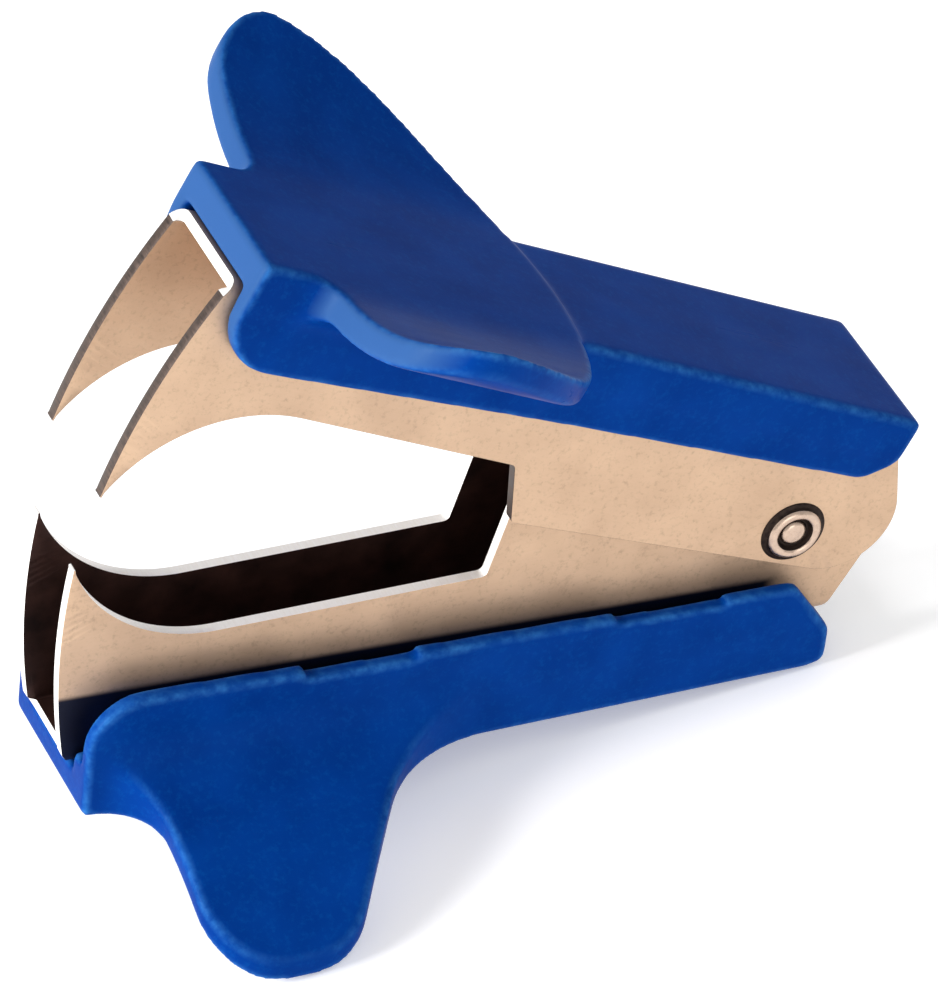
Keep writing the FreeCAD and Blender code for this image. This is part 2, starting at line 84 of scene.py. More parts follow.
class Nodes:
    """A material's node tree, with short calls for the nodes that the recipes below share."""

    def __init__(self, name, **values):
        self.material = bpy.data.materials.new(name)
        self.material.use_nodes = True
        self.tree = self.material.node_tree
        self.tree.nodes.clear()
        output = self.node("ShaderNodeOutputMaterial")
        self.shader = self.node("ShaderNodeBsdfPrincipled")
        self.link(self.shader, "BSDF", output, "Surface")
        for socket, value in values.items():
            self.shader.inputs[socket.replace("_", " ")].default_value = value

    def node(self, kind, **settings):
        """A new node, with settings for its own properties and, by name, for its inputs."""
        made = self.tree.nodes.new(kind)
        for key, value in settings.items():
            if hasattr(made, key):
                setattr(made, key, value)
            else:
                made.inputs[key.replace("_", " ")].default_value = value
        return made

    def link(self, source, out, target, into):
        """Leads an output of one node into an input of another."""
        self.tree.links.new(source.outputs[out], target.inputs[into])

    def turned(self, angle):
        """Object coordinates, turned about Y by an angle in degrees."""
        coordinates = self.node("ShaderNodeTexCoord")
        mapping = self.node("ShaderNodeMapping")
        mapping.inputs["Rotation"].default_value = (0, math.radians(angle), 0)
        self.link(coordinates, "Object", mapping, "Vector")
        return mapping

    def place(self, scale=(1, 1, 1), angle=0.0):
        """Object coordinates in millimetres, turned about Y and then stretched."""
        mapping = self.node("ShaderNodeMapping")
        mapping.inputs["Scale"].default_value = [s / MM for s in scale]
        self.link(self.turned(angle), "Vector", mapping, "Vector")
        return mapping

    def fade(self, source, out, start, end):
        """0 up to start, 1 from end on and an even curve between."""
        made = self.node("ShaderNodeMapRange", interpolation_type="SMOOTHSTEP")
        made.inputs["From Min"].default_value = start
        made.inputs["From Max"].default_value = end
        self.link(source, out, made, "Value")
        return made

    def painted_shade_behind_lip(self):
        """The painted shade behind the lower grip's lip: 0 above it, 1 below, and 0 past its rear end.
        """
        angle = -(LOWER_PITCH + LIP_SLOPE)
        pivot = turn(angle, "Y") @ PIVOT
        split = self.node("ShaderNodeSeparateXYZ")
        self.link(self.turned(angle), "Vector", split, "Vector")
        lip, rear = pivot.z - LIP_DROP * MM, pivot.x + LIP_END * MM
        below = self.fade(split, "Z", lip + SHADE_ABOVE * MM, lip - SHADE_BELOW * MM)
        ahead = self.fade(split, "X", rear, rear - SHADE_REAR * MM)
        self.link(below, "Result", ahead, "To Max")
        return ahead

    def facing_front(self, angle):
        """How squarely a face of a jaw at that pitch looks forwards, 1 at most."""
        coordinates = self.node("ShaderNodeTexCoord")
        ahead = self.node("ShaderNodeVectorMath", operation="DOT_PRODUCT")
        ahead.inputs[1].default_value = turn(-angle, "Y").to_3x3() @ Vector((-1, 0, 0))
        self.link(coordinates, "Normal", ahead, 0)
        return ahead

    def noise(self, where, scale, detail=3.0, roughness=0.5):
        """Noise at the coordinates that a mapping node gives, its scale per millimetre."""
        made = self.node("ShaderNodeTexNoise", Scale=scale, Detail=detail, Roughness=roughness)
        self.link(where, "Vector", made, "Vector")
        return made

    def mix(self, blend, factor, first, second):
        """Mixes two colours, each a (node, output) pair or an RGB triple; output 2 is the result."""
        made = self.node("ShaderNodeMix", data_type="RGBA", blend_type=blend)
        for socket, value in ((0, factor), (6, first), (7, second)):
            if isinstance(value, tuple) and not isinstance(value[0], float):
                self.link(*value, made, socket)
            else:
                made.inputs[socket].default_value = value if socket == 0 else colour(value)
        return made

    def ramp(self, source, out, stops):
        """A colour ramp on an output, its stops (position, grey or RGB)."""
        made = self.node("ShaderNodeValToRGB")
        elements = made.color_ramp.elements
        elements[0].position, elements[0].color = stops[0][0], colour(stops[0][1])
        elements[1].position, elements[1].color = stops[-1][0], colour(stops[-1][1])
        for position, shade in stops[1:-1]:
            elements.new(position).color = colour(shade)
        self.link(source, out, made, "Fac")
        return made

    def bump(self, heights):
        """Chains bumps: (node, output, strength, distance in mm) each."""
        last = None
        for source, out, strength, depth in heights:
            made = self.node("ShaderNodeBump", Strength=strength, Distance=depth * MM)
            self.link(source, out, made, "Height")
            if last:
                self.link(last, "Normal", made, "Normal")
            last = made
        self.link(last, "Normal", self.shader, "Normal")


def colour(shade):
    """RGBA of a grey or of an RGB triple."""
    return (shade, shade, shade, 1) if isinstance(shade, (int, float)) else (*shade, 1)


def blue_plastic(name, pitch, painted_front_sheen):
    """Moulded plastic: saturated blue, semi-gloss, with a fine spark texture and faint flow marks.

    Where asked, the faces that look out past the fangs are painted paler: a painted sheen where the
    light in front falls.
    """
    m = Nodes(name, IOR=1.46, Specular_IOR_Level=0.012)
    even, along = m.place(), m.place((0.15, 1, 1), pitch)
    cloud = m.noise(even, 0.22, 2.0)
    flow = m.noise(along, 0.5, 3.0)
    tint = m.ramp(cloud, "Fac", [(0.3, (0.0005, 0.030, 0.205)), (0.7, (0.0008, 0.041, 0.255))])
    # Paler specks: painted glints of the spark texture.
    painted_glints = m.ramp(m.noise(even, 2.2, 4.0, 0.7), "Fac", [(0.50, 0.0), (0.72, 0.22)])
    tint = m.mix("MIX", (painted_glints, "Color"), (tint, "Color"), (0.004, 0.10, 0.36))
    # Convex edges go paler blue: edge wear, and with it a painted highlight along the edges.
    stand = m.node("ShaderNodeAttribute", attribute_name="stand")
    edges = m.ramp(stand, "Fac", [(0.012, 0.0), (0.05, 1.0)])
    scuffs = m.ramp(m.noise(even, 1.3, 3.0, 0.6), "Fac", [(0.38, 0.12), (0.70, 0.48)])
    wear_and_highlight = m.mix("MULTIPLY", 1.0, (edges, "Color"), (scuffs, "Color"))
    tint = m.mix("MIX", (wear_and_highlight, 2), (tint, 2), (0.05, 0.25, 0.62))
    # Painted sheen: the faces that look forwards are painted a paler blue.
    if painted_front_sheen:
        ahead = m.ramp(m.facing_front(pitch), "Value", [(0.50, 0.0), (0.92, 0.9)])
        tint = m.mix("MIX", (ahead, "Color"), (tint, 2), (0.030, 0.090, 0.245))
    m.link(tint, 2, m.shader, "Base Color")
    gloss = m.ramp(flow, "Fac", [(0.25, 0.27), (0.75, 0.38)])
    m.link(gloss, "Color", m.shader, "Roughness")
    spark = m.noise(even, 5.0, 3.0, 0.65)
    m.bump([(flow, "Fac", 0.12, 0.05), (spark, "Fac", 0.22, 0.03)])
    return m.material


def sheet_steel(name, pitch, light, dark, rough=(0.38, 0.54), gap=False):
    """Rolled and plated sheet: warm grey metal with a fine grain along the jaw and small specks.

    With gap set, the sheet's colour is painted dark behind the lip of the lower grip: painted shade
    where no light gets in.
    """
    m = Nodes(name, Metallic=0.55, Specular_IOR_Level=0.3)
    along, even = m.place((0.10, 1, 1.6), pitch), m.place()
    grain = m.noise(along, 5.5, 4.0, 0.65)
    cloud = m.noise(even, 0.35, 3.0)
    speck = m.noise(even, 2.4, 4.0, 0.75)
    tint = m.ramp(cloud, "Fac", [(0.3, dark), (0.7, light)])
    spots = m.ramp(speck, "Fac", [(0.52, 1.0), (0.70, 0.80)])
    tint = m.mix("MULTIPLY", 1.0, (tint, "Color"), (spots, "Color"))
    # painted shade: the colour goes near black behind the lower grip's lip
    if gap:
        tint = m.mix("MIX", (m.painted_shade_behind_lip(), "Result"), (tint, 2), PAINTED_GAP_SHADE)
    m.link(tint, 2, m.shader, "Base Color")
    gloss = m.ramp(grain, "Fac", [(0.3, rough[0]), (0.7, rough[1])])
    m.link(gloss, "Color", m.shader, "Roughness")
    m.bump([(grain, "Fac", 0.16, 0.012), (speck, "Fac", 0.10, 0.015)])
    return m.material


def cut_edge(name, pitch, light, dark):
    """The sheared edge, with fine striations across the thickness, coloured as painted highlight or
    shade.
    """
    m = Nodes(name, Metallic=0.5)
    where = m.place((3.0, 0.4, 3.0), pitch)
    lines = m.noise(where, 2.2, 3.0, 0.6)
    tint = m.ramp(lines, "Fac", [(0.3, dark), (0.7, light)])
    m.link(tint, "Color", m.shader, "Base Color")
    gloss = m.ramp(lines, "Fac", [(0.3, 0.34), (0.7, 0.52)])
    m.link(gloss, "Color", m.shader, "Roughness")
    m.bump([(lines, "Fac", 0.25, 0.02)])
    return m.material


def turned_steel(name, light, dark, rough):
    """Round steel, such as a rivet or wire: faint rings and small marks."""
    m = Nodes(name, Metallic=1.0)
    where = m.place((1, 4, 1))
    marks = m.noise(where, 2.4, 4.0, 0.6)
    tint = m.ramp(marks, "Fac", [(0.3, dark), (0.7, light)])
    m.link(tint, "Color", m.shader, "Base Color")
    gloss = m.ramp(marks, "Fac", [(0.3, rough[0]), (0.7, rough[1])])
    m.link(gloss, "Color", m.shader, "Roughness")
    m.bump([(marks, "Fac", 0.15, 0.01)])
    return m.material


# Base colours; a pair is the light and the dark of a material's variation.
WARM = ((0.65, 0.447, 0.297), (0.575, 0.39, 0.258))
# Painted highlight: the cut edges of the webs and of the lower jaw are near white, as if lit.
PAINTED_HIGHLIGHT_EDGE = ((0.98, 0.96, 0.93), (0.92, 0.88, 0.83))
# Painted shade: the upper jaw's cheek edges and broken edges are near black, a painted dark outline.
PAINTED_SHADE_EDGE = ((0.085, 0.055, 0.042), (0.03, 0.02, 0.016))
# Painted shade behind the lower grip's lip, on the lower jaw's sheet.
PAINTED_GAP_SHADE = (0.006, 0.007, 0.018)
# Painted shade: the lower jaw's inner faces, dark brown to near black.
INNER_PAINTED_SHADE = ((0.065, 0.028, 0.022), (0.018, 0.008, 0.007))
RIVET_STEEL = ((0.66, 0.50, 0.39), (0.50, 0.37, 0.29))
# Painted shade in the rivet's grooves and round its rim.
RIVET_GROOVE_SHADE = ((0.05, 0.035, 0.028), (0.015, 0.01, 0.01))
SPRING_STEEL = ((0.56, 0.55, 0.53), (0.40, 0.39, 0.38))

# ------------------------------------------------------------------------- outlines in a plane


def arc(centre, radius, start, end, steps):
    """Points along an arc, its angles in degrees, both ends included."""
    angles = np.radians(np.linspace(start, end, steps + 1))
    return [(centre[0] + radius * math.cos(a), centre[1] + radius * math.sin(a)) for a in angles]


def arc_between(start, end, radius, side, steps):
    """Points along the shorter arc from start to end that bulges to one side (1 is left)."""
    a, b = np.array(start, float), np.array(end, float)
    chord = b - a
    left = np.array((-chord[1], chord[0])) / np.linalg.norm(chord)
    centre = (a + b) / 2 - left * side * math.sqrt(max(radius ** 2 - chord @ chord / 4, 0))
    first = math.degrees(math.atan2(*(a - centre)[::-1]))
    last = math.degrees(math.atan2(*(b - centre)[::-1]))
    while last - first > 180:
        last -= 360
    while last - first < -180:
        last += 360
    return arc(centre, radius, first, last, steps)


def tangent_angle(point, centre, radius, side):
    """The angle on a circle, in degrees, at which a line from a point outside touches it."""
    across = np.array(point, float) - np.array(centre, float)
    towards = math.degrees(math.atan2(across[1], across[0]))
    return towards + side * math.degrees(math.acos(radius / np.linalg.norm(across)))


def eased(points, corners, radius, steps=4):
    """The outline with some of its sharp corners rounded, given by their numbers."""
    made = []
    for index, point in enumerate(points):
        if index not in corners:
            made.append(point)
            continue
        here = np.array(point, float)
        before = np.array(points[index - 1], float) - here
        after = np.array(points[(index + 1) % len(points)], float) - here
        before, after = before / np.linalg.norm(before), after / np.linalg.norm(after)
        half = math.acos(max(-1.0, min(1.0, before @ after))) / 2
        reach = radius / math.tan(half)
        start, end = here + before * reach, here + after * reach
        side = 1 if before[0] * after[1] - before[1] * after[0] > 0 else -1
        made += arc_between(start, end, radius, side, steps)
    return made


# ---------------------------------------------------------------------------------- meshes


def add_piece(name, mesh, body, replaced, materials):
    """Links a mesh as a piece that stands for a CAD node and rides on its body."""
    piece = bpy.data.objects.new(name, mesh)
    bpy.context.collection.objects.link(piece)
    for material in materials:
        mesh.materials.append(material)
    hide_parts(replaced)
    if body:
        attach(piece, body)
    return piece


def placed_mesh(name, bm, matrix):
    """A mesh from a bmesh, put in its place."""
    bm.transform(matrix)
    mesh = bpy.data.meshes.new(name)
    bm.to_mesh(mesh)
    bm.free()
    return mesh


def modifier(piece, kind, **settings):
    """Adds a modifier with these settings."""
    made = piece.modifiers.new(kind.title(), kind)
    for key, value in settings.items():
        setattr(made, key, value)


# -------------------------------------------------------------------------------- steel jaws
STEEL = 0.8  # thickness of the sheet
WEB_HEIGHT, BEND = 8.55, 1.0  # of the web's outer face over the pivot, and the bends' outer radius
WEB_FRONT, WEB_REAR = -50.7, 3.8
FANG_TOP, FANG_ROOT = -51.1, -41.0  # where the fang leaves the web, and the middle of its back's arc
FANG_BACK, FANG_FRONT = 11.1, 50.0  # radii of its back and front
FANG_BLUNT = 0.12  # how much of the fang's tip is taken off
SHANK, HOLE_PLAY = 1.5, 0.05  # the rivet's radius, and the gap round it
STEP_ROUND = 0.45  # rounding of the step where the arm becomes the deep cheek
# The fang's front stops at least this far under the bend, and then runs on by this share of a step.
TRIM, HEAD_SHARE = 0.05, 0.3
BEND_STEPS, HOLE_STEPS, FRONT_STEPS, ARC_STEPS = 6, 36, 60, 30
# width is over both cheeks, reach the fang tip's depth, edge and cheek the heights of the arm's and the
# deep cheek's edges, step the X of the line between them, tail and round the rear arc's centre and
# radius, and broken the width of the broken edges.
JAWS = {
    "upper": dict(
        width=9.1, reach=8.5, edge=0.3, step=(-23.8, -21.6), cheek=-3.9, tail=(2.75, 1.9), round=4.4,
        broken=0.13),
    "lower": dict(
        width=7.0, reach=7.9, edge=-0.5, step=(-22.0, -20.3), cheek=-7.2, tail=(0.6, 0.6), round=6.65,
        broken=0.10),
}
# A jaw's materials come in threes, outside, cut edge and inside: first the cheeks', then the web's.
CHEEK, WEB = 0, 3


def cheek_outline(jaw):
    """The flat side of a jaw below the bend, from the top of the fang round to the rear."""
    top = WEB_HEIGHT - BEND
    middle = (FANG_ROOT, jaw["edge"] - FANG_BACK)
    drop = -jaw["reach"] - middle[1]
    tip = (FANG_ROOT - math.sqrt(FANG_BACK ** 2 - drop ** 2), -jaw["reach"])
    front = arc_between((FANG_TOP, WEB_HEIGHT), tip, FANG_FRONT, -1, FRONT_STEPS)
    front = [point for point in front if point[1] < top - TRIM][:-1]
    for across, up in ((-0.5, 1), (0.8, 0.7)):
        front.append((tip[0] + across * FANG_BLUNT, tip[1] + up * FANG_BLUNT))
    start = math.degrees(math.atan2(drop, tip[0] - middle[0])) % 360
    back = arc(middle, FANG_BACK, start, 90, ARC_STEPS)[1:]
    foot = (jaw["step"][1], jaw["cheek"])
    first = tangent_angle(foot, jaw["tail"], jaw["round"], 1)
    last = tangent_angle((WEB_REAR, WEB_HEIGHT), jaw["tail"], jaw["round"], -1)
    tail = arc(jaw["tail"], jaw["round"], first, last + (360 if last < first else 0), ARC_STEPS)
    slope = (WEB_REAR - tail[-1][0]) / (WEB_HEIGHT - tail[-1][1])
    rear = (tail[-1][0] + slope * (top - tail[-1][1]), top)
    head = (front[0][0] + (front[0][0] - front[1][0]) * HEAD_SHARE, top)
    points = [head] + front + back + [(jaw["step"][0], jaw["edge"]), foot] + tail + [rear]
    step = 1 + len(front) + len(back)
    return eased(points, (step, step + 1), STEP_ROUND)


def jaw_sheet(jaw):
    """The outer face of a jaw as an open sheet: a cheek and a bend each side, and the web between."""
    outline = cheek_outline(jaw)
    half, top = jaw["width"] / 2, WEB_HEIGHT - BEND
    hole_outline = arc((0, 0), SHANK + HOLE_PLAY, 0, 360, HOLE_STEPS)[:-1]
    bm = bmesh.new()
    rows = []
    for y in (-1, 1):
        ring = [bm.verts.new((x, y * half, z)) for x, z in outline]
        hole = [bm.verts.new((x, y * half, z)) for x, z in hole_outline]
        edges = [bm.edges.new((loop[i - 1], loop[i])) for loop in (ring, hole) for i in range(len(loop))]
        bmesh.ops.triangle_fill(bm, edges=edges, use_beauty=True)
        strip = [(ring[0], ring[-1])]
        for k in range(1, BEND_STEPS + 1):
            angle = math.pi / 2 * k / BEND_STEPS
            share = math.sin(angle)
            across = y * (half - BEND + BEND * math.cos(angle))
            height = top + BEND * share
            front = outline[0][0] * (1 - share) + WEB_FRONT * share
            rear = outline[-1][0] * (1 - share) + WEB_REAR * share
            strip.append(tuple(bm.verts.new((x, across, height)) for x in (front, rear)))
        for (a, b), (c, d) in zip(strip, strip[1:]):
            bm.faces.new((a, b, d, c)).material_index = WEB
        rows.append(strip[-1])
    web = bm.faces.new((rows[0][0], rows[0][1], rows[1][1], rows[1][0]))
    web.material_index = WEB
    bmesh.ops.recalc_face_normals(bm, faces=bm.faces[:])
    web.normal_update()
    if web.normal.z < 0:
        bmesh.ops.reverse_faces(bm, faces=bm.faces[:])
    for face in bm.faces:
        face.smooth = True
    return bm


def make_jaw(side, body):
    """One jaw: its sheet, thickened inwards, with broken edges."""
    jaw, lower = JAWS[side], side == "lower"
    mesh = placed_mesh(side + "_jaw_sheet", jaw_sheet(jaw), PLACE[side])
    # The lower jaw's plated sheet gets painted shade behind its grip's lip.
    plated = sheet_steel("plated_steel_" + side, GRAIN[side], *WARM, gap=lower)
    # The lower jaw's inner faces are painted near black: painted shade inside the jaw.
    inner = sheet_steel("inner_steel_" + side, GRAIN[side], *(INNER_PAINTED_SHADE if lower else WARM))
    # The webs' cut edges, and all of the lower jaw's, are near white: a painted highlight.
    bright = cut_edge("web_edge_" + side, GRAIN[side], *PAINTED_HIGHLIGHT_EDGE)
    # The upper cheeks' cut edges are painted shade, near black.
    edge = bright if lower else cut_edge("cheek_edge_" + side, GRAIN[side], *PAINTED_SHADE_EDGE)
    materials = [plated, edge, inner, plated, bright, inner]
    piece = add_piece(side + "_jaw_sheet", mesh, body, side + "_jaw", materials)
    modifier(piece, "SOLIDIFY", thickness=STEEL * MM, offset=-1.0, use_even_offset=True,
             material_offset_rim=1, material_offset=2)
    # On the upper jaw every broken edge takes the near-black edge material: a painted dark outline of
    # shade.
    modifier(piece, "BEVEL", width=jaw["broken"] * MM, segments=2, limit_method="ANGLE",
             angle_limit=math.radians(38), miter_outer="MITER_ARC", material=-1 if lower else CHEEK + 1)
    modifier(piece, "WEIGHTED_NORMAL", keep_sharp=True)


# ----------------------------------------------------------------- solids from distance fields
GRID = 0.20  # spacing of the fields, in mm
STAND_ROUNDS = 3  # rounds of evening out by which a vertex's neighbourhood is judged


def polygon_field(outline, xs, ys):
    """Signed distance to a closed outline on a plane grid, negative inside."""
    px, py = np.meshgrid(xs, ys, indexing="ij")
    nearest = np.full(px.shape, 1e9)
    inside = np.zeros(px.shape, bool)
    for (ax, ay), (bx, by) in zip(outline, outline[1:] + outline[:1]):
        ex, ey = bx - ax, by - ay
        share = np.clip(((px - ax) * ex + (py - ay) * ey) / max(ex * ex + ey * ey, 1e-12), 0, 1)
        gap = (px - ax - share * ex) ** 2 + (py - ay - share * ey) ** 2
        nearest = np.minimum(nearest, gap)
        if ay != by:
            crosses = ((ay > py) != (by > py)) & (px < ex * (py - ay) / ey + ax)
            inside ^= crosses
    return np.where(inside, -1, 1) * np.sqrt(nearest)


def both(a, b, radius):
    """Intersection of two fields, its edge rounded."""
    over = np.sqrt(np.maximum(a + radius, 0) ** 2 + np.maximum(b + radius, 0) ** 2)
    return np.minimum(-radius, np.maximum(a, b)) + over


def either(a, b, radius):
    """Union of two fields, its inner corner filleted."""
    under = np.sqrt(np.maximum(radius - a, 0) ** 2 + np.maximum(radius - b, 0) ** 2)
    return np.maximum(radius, np.minimum(a, b)) - under


def eased_step(values, low, high):
    """0 below low, 1 above high, and an even curve between."""
    t = np.clip((values - low) / (high - low), 0, 1)
    return t * t * (3 - 2 * t)


def surface_net(field, low, step):
    """Vertices and quads of a field's zero surface, one vertex in each cell that it crosses.

    A vertex is the mean of the points where the surface cuts its cell's edges, and each cut edge of
    the grid joins the four cells round it by a quad.  The surface has to stay off the grid's sides.
    """
    inside = field < 0
    cells = tuple(n - 1 for n in field.shape)
    total, count = np.zeros(cells + (3,), np.float32), np.zeros(cells, np.float32)
    quads_of = []
    for axis in range(3):
        near = [slice(None)] * 3
        far = [slice(None)] * 3
        near[axis], far[axis] = slice(0, -1), slice(1, None)
        f0, f1 = field[tuple(near)], field[tuple(far)]
        crosses = inside[tuple(near)] != inside[tuple(far)]
        where = np.argwhere(crosses)
        share = f0[crosses] / (f0[crosses] - f1[crosses])
        points = where.astype(np.float32)
        points[:, axis] += share
        others = [a for a in range(3) if a != axis]
        for i in (0, 1):
            for j in (0, 1):
                cell = where.copy()
                cell[:, others[0]] -= i
                cell[:, others[1]] -= j
                np.add.at(total, tuple(cell.T), points)
                np.add.at(count, tuple(cell.T), 1)
        quads_of.append((where, inside[tuple(near)][crosses], others, axis))
    used = count > 0
    number = np.full(cells, -1, np.int64)
    number[used] = np.arange(used.sum())
    vertices = total[used] / count[used][:, None] * step + np.array(low, np.float32)
    faces = []
    for where, leaving, others, axis in quads_of:
        ring = []
        for i, j in ((0, 0), (1, 0), (1, 1), (0, 1)):
            cell = where.copy()
            cell[:, others[0]] -= i
            cell[:, others[1]] -= j
            ring.append(number[tuple(cell.T)])
        ring = np.stack(ring, axis=1)
        kept = leaving if axis != 1 else ~leaving
        ring[~kept] = ring[~kept][:, ::-1]
        faces.append(ring)
    return vertices, np.concatenate(faces)


def standing_out(vertices, quads):
    """How far each vertex stands out from those round it, in mm, evened out along the surface."""
    starts, ends = quads.ravel(), np.roll(quads, -1, axis=1).ravel()
    share = np.bincount(starts, minlength=len(vertices)) + np.bincount(ends, minlength=len(vertices))

    def around(values):
        columns = [
            np.bincount(starts, weights=column[ends], minlength=len(values))
            + np.bincount(ends, weights=column[starts], minlength=len(values))
            for column in values.T]
        return np.stack(columns, axis=1) / share[:, None]

    corners = vertices[quads]
    facing = np.cross(corners[:, 2] - corners[:, 0], corners[:, 3] - corners[:, 1])
    normals = np.zeros_like(vertices)
    for corner in quads.T:
        np.add.at(normals, corner, facing)
    normals = around(normals)
    normals /= np.linalg.norm(normals, axis=1)[:, None] + 1e-9
    smooth = vertices
    for _ in range(STAND_ROUNDS):
        smooth = around(smooth)
    stand = ((vertices - smooth) * normals).sum(axis=1)[:, None]
    for _ in range(STAND_ROUNDS):
        stand = around(stand)
    return stand[:, 0]


# -------------------------------------------------------------------------------- the grips
# Common to both grips: the front, half the width and the height of the plate, the wings' thickness,
# where the lip's line bends, and the radius of the walls' front corner.
GRIP = dict(front=-50.6, half=6.1, height=11.0, wing=2.0, bend=-28.0, corner=4.0)
# lip is the lip's height at the front, the bend and the rear, slope the lower and rear point of the
# line that closes the wall, rise and span the wings' lift and width, fillet the radius at their root,
# ease the rounding of the slope's corners and heel that of the plate's rear edge.
GRIPS = {
    "upper": dict(
        lip=(3.5, 4.5, 5.65), rear=3.6, slope=(1.6, 7.4), rise=5.0, span=38.8, fillet=2.0, ease=1.9,
        heel=0.3),
    "lower": dict(
        lip=(1.9, 2.8, 3.9), rear=3.2, slope=(0.3, 8.0), rise=4.9, span=39.7, fillet=4.2, ease=0.7,
        heel=1.1),
}
HOLLOW_PLAY = 0.13  # between a jaw and its grip's hollow
TOP_ROUND, EDGE_ROUND, HOLLOW_ROUND = 0.25, 0.32, 0.18  # of the wings' rims, the outline and the hollow
PLAN_PAST = 1.0  # how far the plans run past the front and rear, which the wall profile cuts
TIP_ROOM = 0.6  # kept free above the wings' tips in the field
SMOOTHING = 14  # rounds of smoothing, which take the grid's steps off the surface
# The raised pad on the upper grip: the X of its rear edge, that edge's bow at a distance from the
# middle, its height, and the X of the soft step's foot and head from the edge.
PAD_EDGE, PAD_BOW, PAD_REACH, PAD_HEIGHT, PAD_STEP = -24.9, 0.9, 7.0, 0.3, (-0.12, 0.22)
# The lower lips' relief: the wall left, half the width cleared and its top, then the notches.
LIP_THICK, RELIEF_HALF, RELIEF_TOP = 1.6, 4.9, 7.2
NOTCHES, NOTCH_LENGTH, NOTCH_DEPTH = (-35.5, -13.0), 8.0, 0.42


def wall_profile(grip):
    """A grip's side: the lip below, the slope and heel at the rear, and open above the wings."""
    front, top, corner = GRIP["front"], GRIP["height"], GRIP["corner"]
    low, middle, high = grip["lip"]
    slope = math.degrees(math.atan2(middle - low, GRIP["bend"] - front - corner))
    centre = (front + corner, low + corner)
    above = top + grip["rise"] + 3
    inset = grip["rear"] - grip["heel"]
    lip = [(front, above)] + arc(centre, corner, 180, 270 + slope * 0.5, 14) + [(GRIP["bend"], middle)]
    rear = (
        [(grip["slope"][0], high), (grip["rear"], grip["slope"][1])]
        + arc((inset, top - grip["heel"]), grip["heel"], 0, 90, 8)
        + [(inset, above)]
    )
    return eased(lip + rear, (len(lip), len(lip) + 1), grip["ease"], 8)


def mirrored_plan(half_outline):
    """A plan outline from its half at positive Y, which starts at the front and ends at the rear."""
    return half_outline + [(x, -y) for x, y in reversed(half_outline)]


def tangent_arc(start, heading, end, steps):
    """Points on the arc that leaves start along a heading and reaches end."""
    a, d, b = np.array(start, float), np.array(heading, float), np.array(end, float)
    normal = np.array((d[1], -d[0]))
    chord = b - a
    radius = (chord @ chord) / (2 * (chord @ normal))
    centre = a + normal * radius
    first = math.degrees(math.atan2(*(a - centre)[::-1]))
    last = math.degrees(math.atan2(*(b - centre)[::-1]))
    return arc(centre, abs(radius), first, last, steps)


def upper_plan():
    """The upper grip from above: round wing tips that run back to the wall in a long bow."""
    half, front, rear = GRIP["half"], GRIP["front"], GRIPS["upper"]["rear"]
    # The wing's tip and front edge, and the radii at its root and corner.
    tip, edge, root, corner = GRIPS["upper"]["span"] / 2, -45.6, 2.0, 4.4
    end, back, out = -40.45, -25.6, 0.9  # X where the bow starts and ends, and its end off the wall
    centre = (edge + corner, tip - corner)
    start = math.asin(min(1.0, (end - centre[0]) / corner))
    leave = (centre[0] + corner * math.sin(start), centre[1] + corner * math.cos(start))
    bow = tangent_arc(leave, (math.cos(start), -math.sin(start)), (back, half + out), 30)
    return mirrored_plan(
        [(front - PLAN_PAST, half)]
        + arc((edge - root, half + root), root, -90, 0, 8)
        + arc(centre, corner, 180, 90 - math.degrees(start), 20)
        + bow[1:]
        + [(back, half), (rear + PLAN_PAST, half)]
    )


def lower_plan():
    """The lower grip from above: blunt wing tips that run back to the wall in a hollow curve."""
    half, front, rear = GRIP["half"], GRIP["front"], GRIPS["lower"]["rear"]
    # The wing's tip and front edge, and the radii at its root and corner.
    tip, edge, root, corner = GRIPS["lower"]["span"] / 2, -46.3, 4.0, 4.7
    back, hollow, flat = -21.8, 10.8, 2.4  # X and radius of the hollow, and the tip's straight side
    centre = (edge + corner + flat, tip - corner)
    far = (back, half + hollow)
    apart = math.dist(centre, far)
    lean = math.degrees(math.atan2(far[1] - centre[1], far[0] - centre[0]))
    touch = math.degrees(math.acos((corner + hollow) / apart))
    leave = lean + touch
    return mirrored_plan(
        [(front - PLAN_PAST, half)]
        + arc((edge - root, half + root), root, -90, 0, 12)
        + arc((edge + corner, tip - corner), corner, 180, 90, 14)
        + arc(centre, corner, 90, leave, 18)
        + arc(far, hollow, leave - 180, -90, 24)
        + [(rear + PLAN_PAST, half)]
    )


